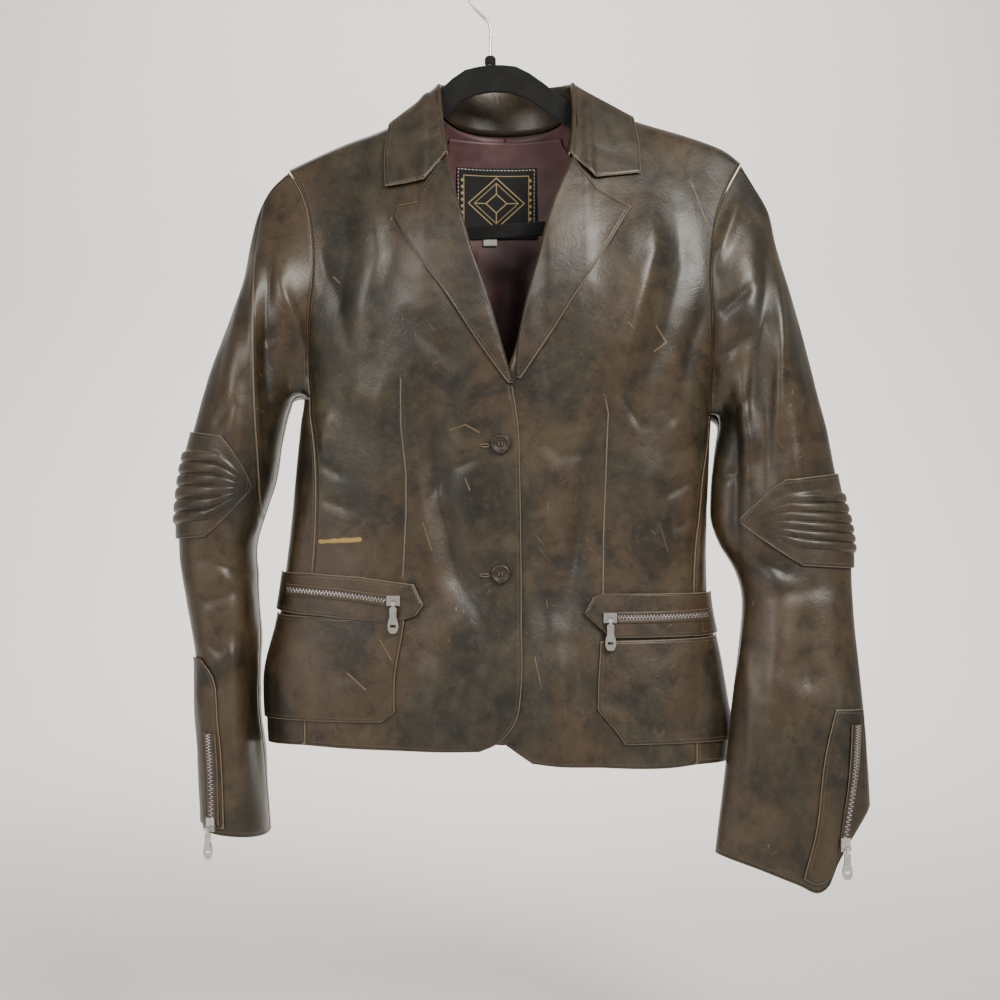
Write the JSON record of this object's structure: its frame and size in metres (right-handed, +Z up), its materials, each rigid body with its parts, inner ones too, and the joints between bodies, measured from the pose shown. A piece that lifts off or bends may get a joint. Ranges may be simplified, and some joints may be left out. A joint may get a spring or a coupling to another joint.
{
  "type": "worn leather jacket on a hanger",
  "caption": "Worn brown leather blazer with notched lapels, ribbed elbow patches and zipped patch pockets and cuffs, buttoned on a slim velvet hanger with a wire hook.",
  "frame": {"origin": "inside top of the hanger's hook, where the rail carries it", "axes": "+Z up, the hook's way up; the jacket's front faces -Y; +X is the wearer's left side; the hanger lies in the XZ plane"},
  "size_m": [0.6322, 0.1358, 0.8503],
  "materials": {
    "brown_hide": "worn satin",
    "brown_hide_trim": "worn satin",
    "zip_tape": "matt woven tape with metal teeth",
    "nickel": "satin nickel",
    "dark_horn": "satin",
    "burgundy_lining": "satin weave",
    "black_label": "woven",
    "white_tab": "woven",
    "black_velvet": "flocked"
  },
  "bodies": {
    "jacket": {"back_left": "brown_hide", "back_right": "brown_hide", "button_1": "dark_horn", "button_2": "dark_horn", "collar": "brown_hide", "elbow_left": "brown_hide_trim", "elbow_right": "brown_hide_trim", "front_left": "brown_hide", "front_right": "brown_hide", "hanger": "black_velvet", "hook": "nickel", "hook_socket": "black_velvet", "label": "black_label", "lapel_left": "brown_hide_trim", "lapel_right": "brown_hide_trim", "lining_back": "burgundy_lining", "placket_left": "brown_hide_trim", "placket_right": "brown_hide_trim", "pocket_band_left": "brown_hide_trim", "pocket_band_right": "brown_hide_trim", "pocket_left": "brown_hide_trim", "pocket_right": "brown_hide_trim", "side_left": "brown_hide", "side_right": "brown_hide", "size_tab": "white_tab", "sleeve_left_under": "brown_hide", "sleeve_left_upper": "brown_hide", "sleeve_right_under": "brown_hide", "sleeve_right_upper": "brown_hide", "slider_cuff_left": "nickel", "slider_cuff_right": "nickel", "slider_pocket_left": "nickel", "slider_pocket_right": "nickel", "zip_cuff_left": "zip_tape", "zip_cuff_right": "zip_tape", "zip_pocket_left": "zip_tape", "zip_pocket_right": "zip_tape"},
    "pull_pocket_right": {"pull_pocket_right": "nickel"},
    "pull_pocket_left": {"pull_pocket_left": "nickel"},
    "pull_cuff_right": {"pull_cuff_right": "nickel"},
    "pull_cuff_left": {"pull_cuff_left": "nickel"}
  },
  "joints": [
    {"name": "pull_pocket_right_swing", "type": "hinge", "parent": "jacket", "child": "pull_pocket_right", "pos_m": [-0.08601, -0.06602, -0.59159], "axis": [-1, 0, 0], "range_deg": [0, 150]},
    {"name": "pull_pocket_left_swing", "type": "hinge", "parent": "jacket", "child": "pull_pocket_left", "pos_m": [0.10721, -0.06569, -0.60679], "axis": [-1, 0, 0], "range_deg": [0, 150]},
    {"name": "pull_cuff_right_swing", "type": "hinge", "parent": "jacket", "child": "pull_cuff_right", "pos_m": [-0.25098, -0.0615, -0.79299], "axis": [-0.878, 0.4786, 0], "range_deg": [0, 150]},
    {"name": "pull_cuff_left_swing", "type": "hinge", "parent": "jacket", "child": "pull_cuff_left", "pos_m": [0.31572, -0.07388, -0.80856], "axis": [-0.9795, -0.2015, 0], "range_deg": [0, 150]}
  ]
}
